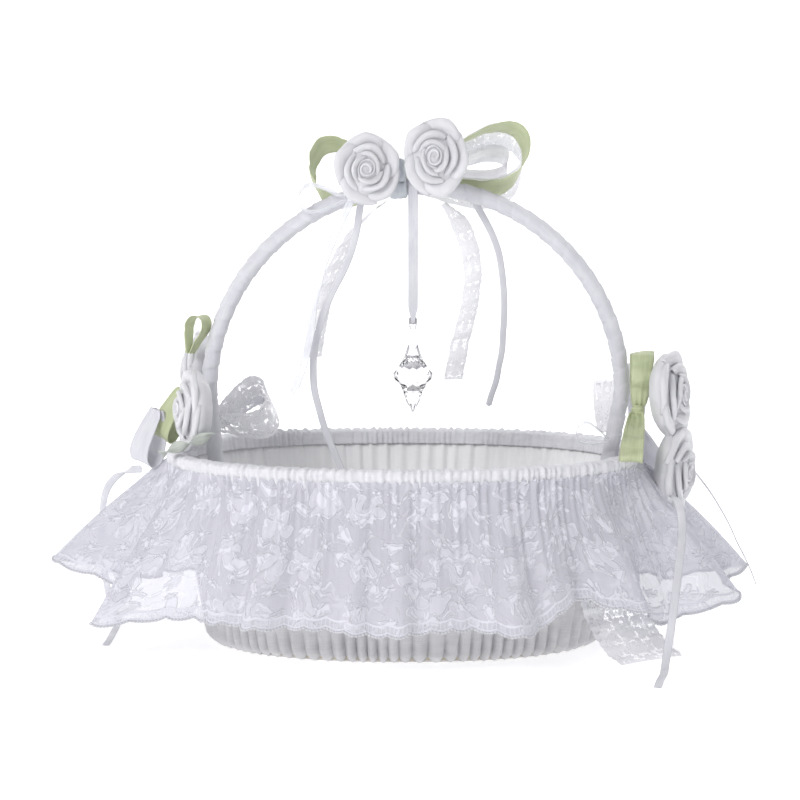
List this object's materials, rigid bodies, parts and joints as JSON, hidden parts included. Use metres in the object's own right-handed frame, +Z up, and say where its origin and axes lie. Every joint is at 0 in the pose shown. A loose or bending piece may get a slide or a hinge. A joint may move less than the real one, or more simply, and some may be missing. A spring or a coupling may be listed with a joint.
{
  "type": "flower girl basket",
  "caption": "Oval white satin flower girl basket with a lace flounce, hoop handle, ribbon roses, sage bows and a hanging crystal drop.",
  "frame": {"origin": "middle of the basket's underside, on the surface it stands on", "axes": "+X to the right along the long side of the oval, +Y to the back, +Z up"},
  "size_m": [0.3666, 0.2384, 0.2659],
  "materials": {
    "base_felt": "pressed felt",
    "card_board": "plain grey-brown board",
    "steel_wire": "drawn wire",
    "cover_satin": "gathered satin with a soft sheen",
    "lining_satin": "gathered lining satin",
    "lace": "floral net lace with a cord edge",
    "rattan": "bent round rod",
    "satin_white": "satin ribbon",
    "satin_pale_blue": "satin ribbon",
    "satin_rose": "folded satin ribbon with a bright sheen",
    "satin_sage": "satin ribbon",
    "organza": "sheer organza ribbon",
    "crystal": "clear polished facets"
  },
  "bodies": {
    "basket": {"base_cover": "base_felt", "base_board": "card_board", "wall_board": "card_board", "rim_wire": "steel_wire", "outer_cover": "cover_satin", "lining": "lining_satin", "floor_pad": "lining_satin", "rim_binding": "cover_satin", "lace_flounce": "lace", "handle_rod": "rattan", "handle_wrapping": "satin_white", "leg_tabs": "satin_white", "top_tie": "satin_pale_blue", "top_rose_left": "satin_rose", "top_rose_right": "satin_rose", "top_sage_bow": "satin_sage", "top_lace_bow": "lace", "top_organza_loop": "organza", "top_narrow_bow": "organza", "top_lace_tail_left": "lace", "top_lace_tail_right": "lace", "top_sheer_tail": "organza", "top_narrow_tail_left": "satin_white", "top_narrow_tail_right": "satin_white", "left_rose_front": "satin_rose", "left_rose_back": "satin_rose", "left_sage_bow": "satin_sage", "left_satin_bow": "satin_white", "left_lace_bow": "lace", "left_organza_loop": "organza", "left_twisted_ribbon": "satin_sage", "left_narrow_tail": "satin_white", "right_rose_upper": "satin_rose", "right_rose_lower": "satin_rose", "right_sage_bow": "satin_sage", "right_satin_bow": "satin_white", "right_lace_bow": "lace", "right_narrow_bow": "organza", "right_narrow_tail": "satin_white", "right_lace_tail": "lace", "right_far_tail": "satin_white"},
    "pendant": {"pendant_ribbon": "satin_white"},
    "crystal": {"crystal_drop": "crystal"}
  },
  "joints": [
    {"name": "pendant_swing", "type": "hinge", "parent": "basket", "child": "pendant", "pos_m": [0.0046, 0, 0.23149], "axis": [1, 0, 0], "range_deg": [-38, 38]},
    {"name": "crystal_swing", "type": "hinge", "parent": "pendant", "child": "crystal", "pos_m": [0.0046, 0, 0.16249], "axis": [0, 1, 0], "range_deg": [-18, 18]}
  ]
}
